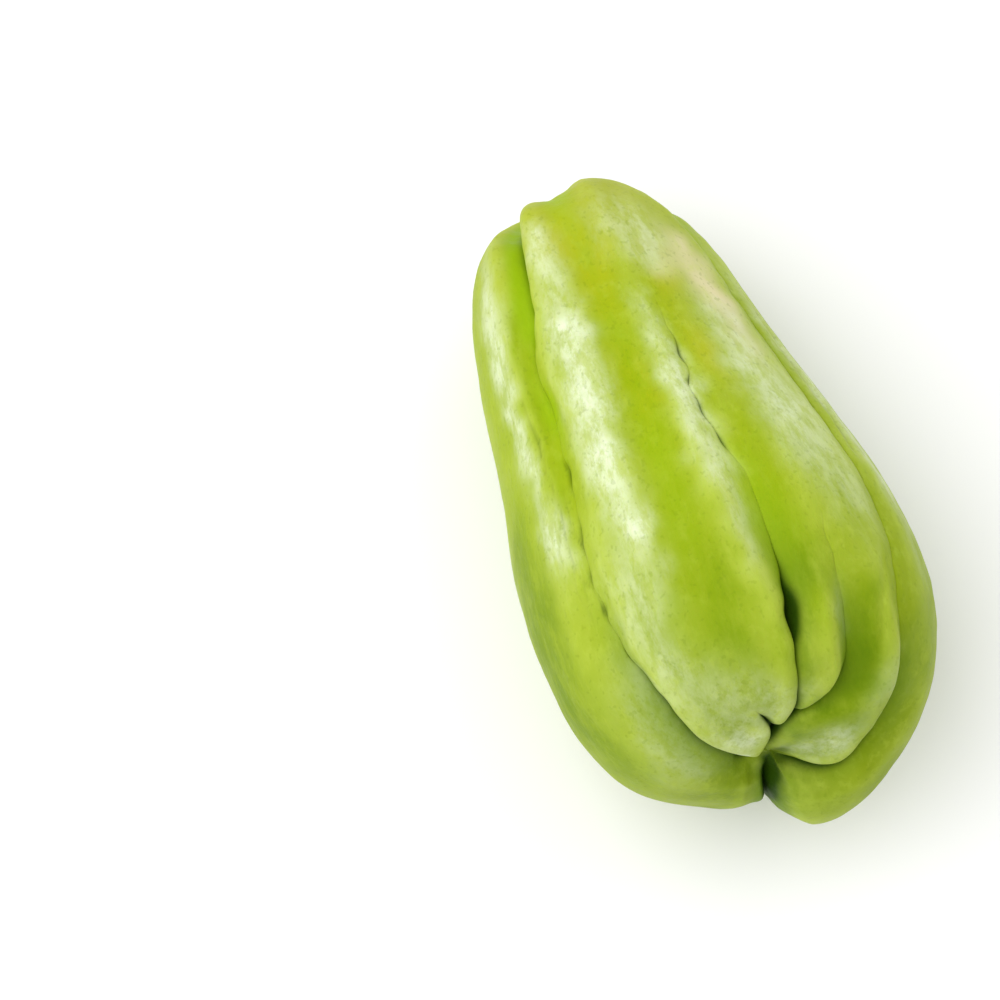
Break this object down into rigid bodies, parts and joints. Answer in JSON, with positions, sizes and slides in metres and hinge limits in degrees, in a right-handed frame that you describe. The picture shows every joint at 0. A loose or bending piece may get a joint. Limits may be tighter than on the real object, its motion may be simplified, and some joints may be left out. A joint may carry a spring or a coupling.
{
  "type": "chayote squash",
  "caption": "Whole pear-shaped green chayote squash, lying on its side: lobed and furrowed, with a puckered blossom end and a dimpled stem end.",
  "frame": {"origin": "on the surface that the fruit lies on, under the middle of its bounding box", "axes": "+Y along the fruit towards the stem end, -Y towards the puckered blossom end, +Z up from the flat spot that it lies on, +X to the right as seen from above with +Y up"},
  "size_m": [0.0818, 0.153, 0.076],
  "materials": {
    "skin": "waxy semi-gloss plant skin, yellow-green with paler ridges and deeper green furrows"
  },
  "bodies": {
    "root": {"chayote": "skin"}
  },
  "joints": []
}
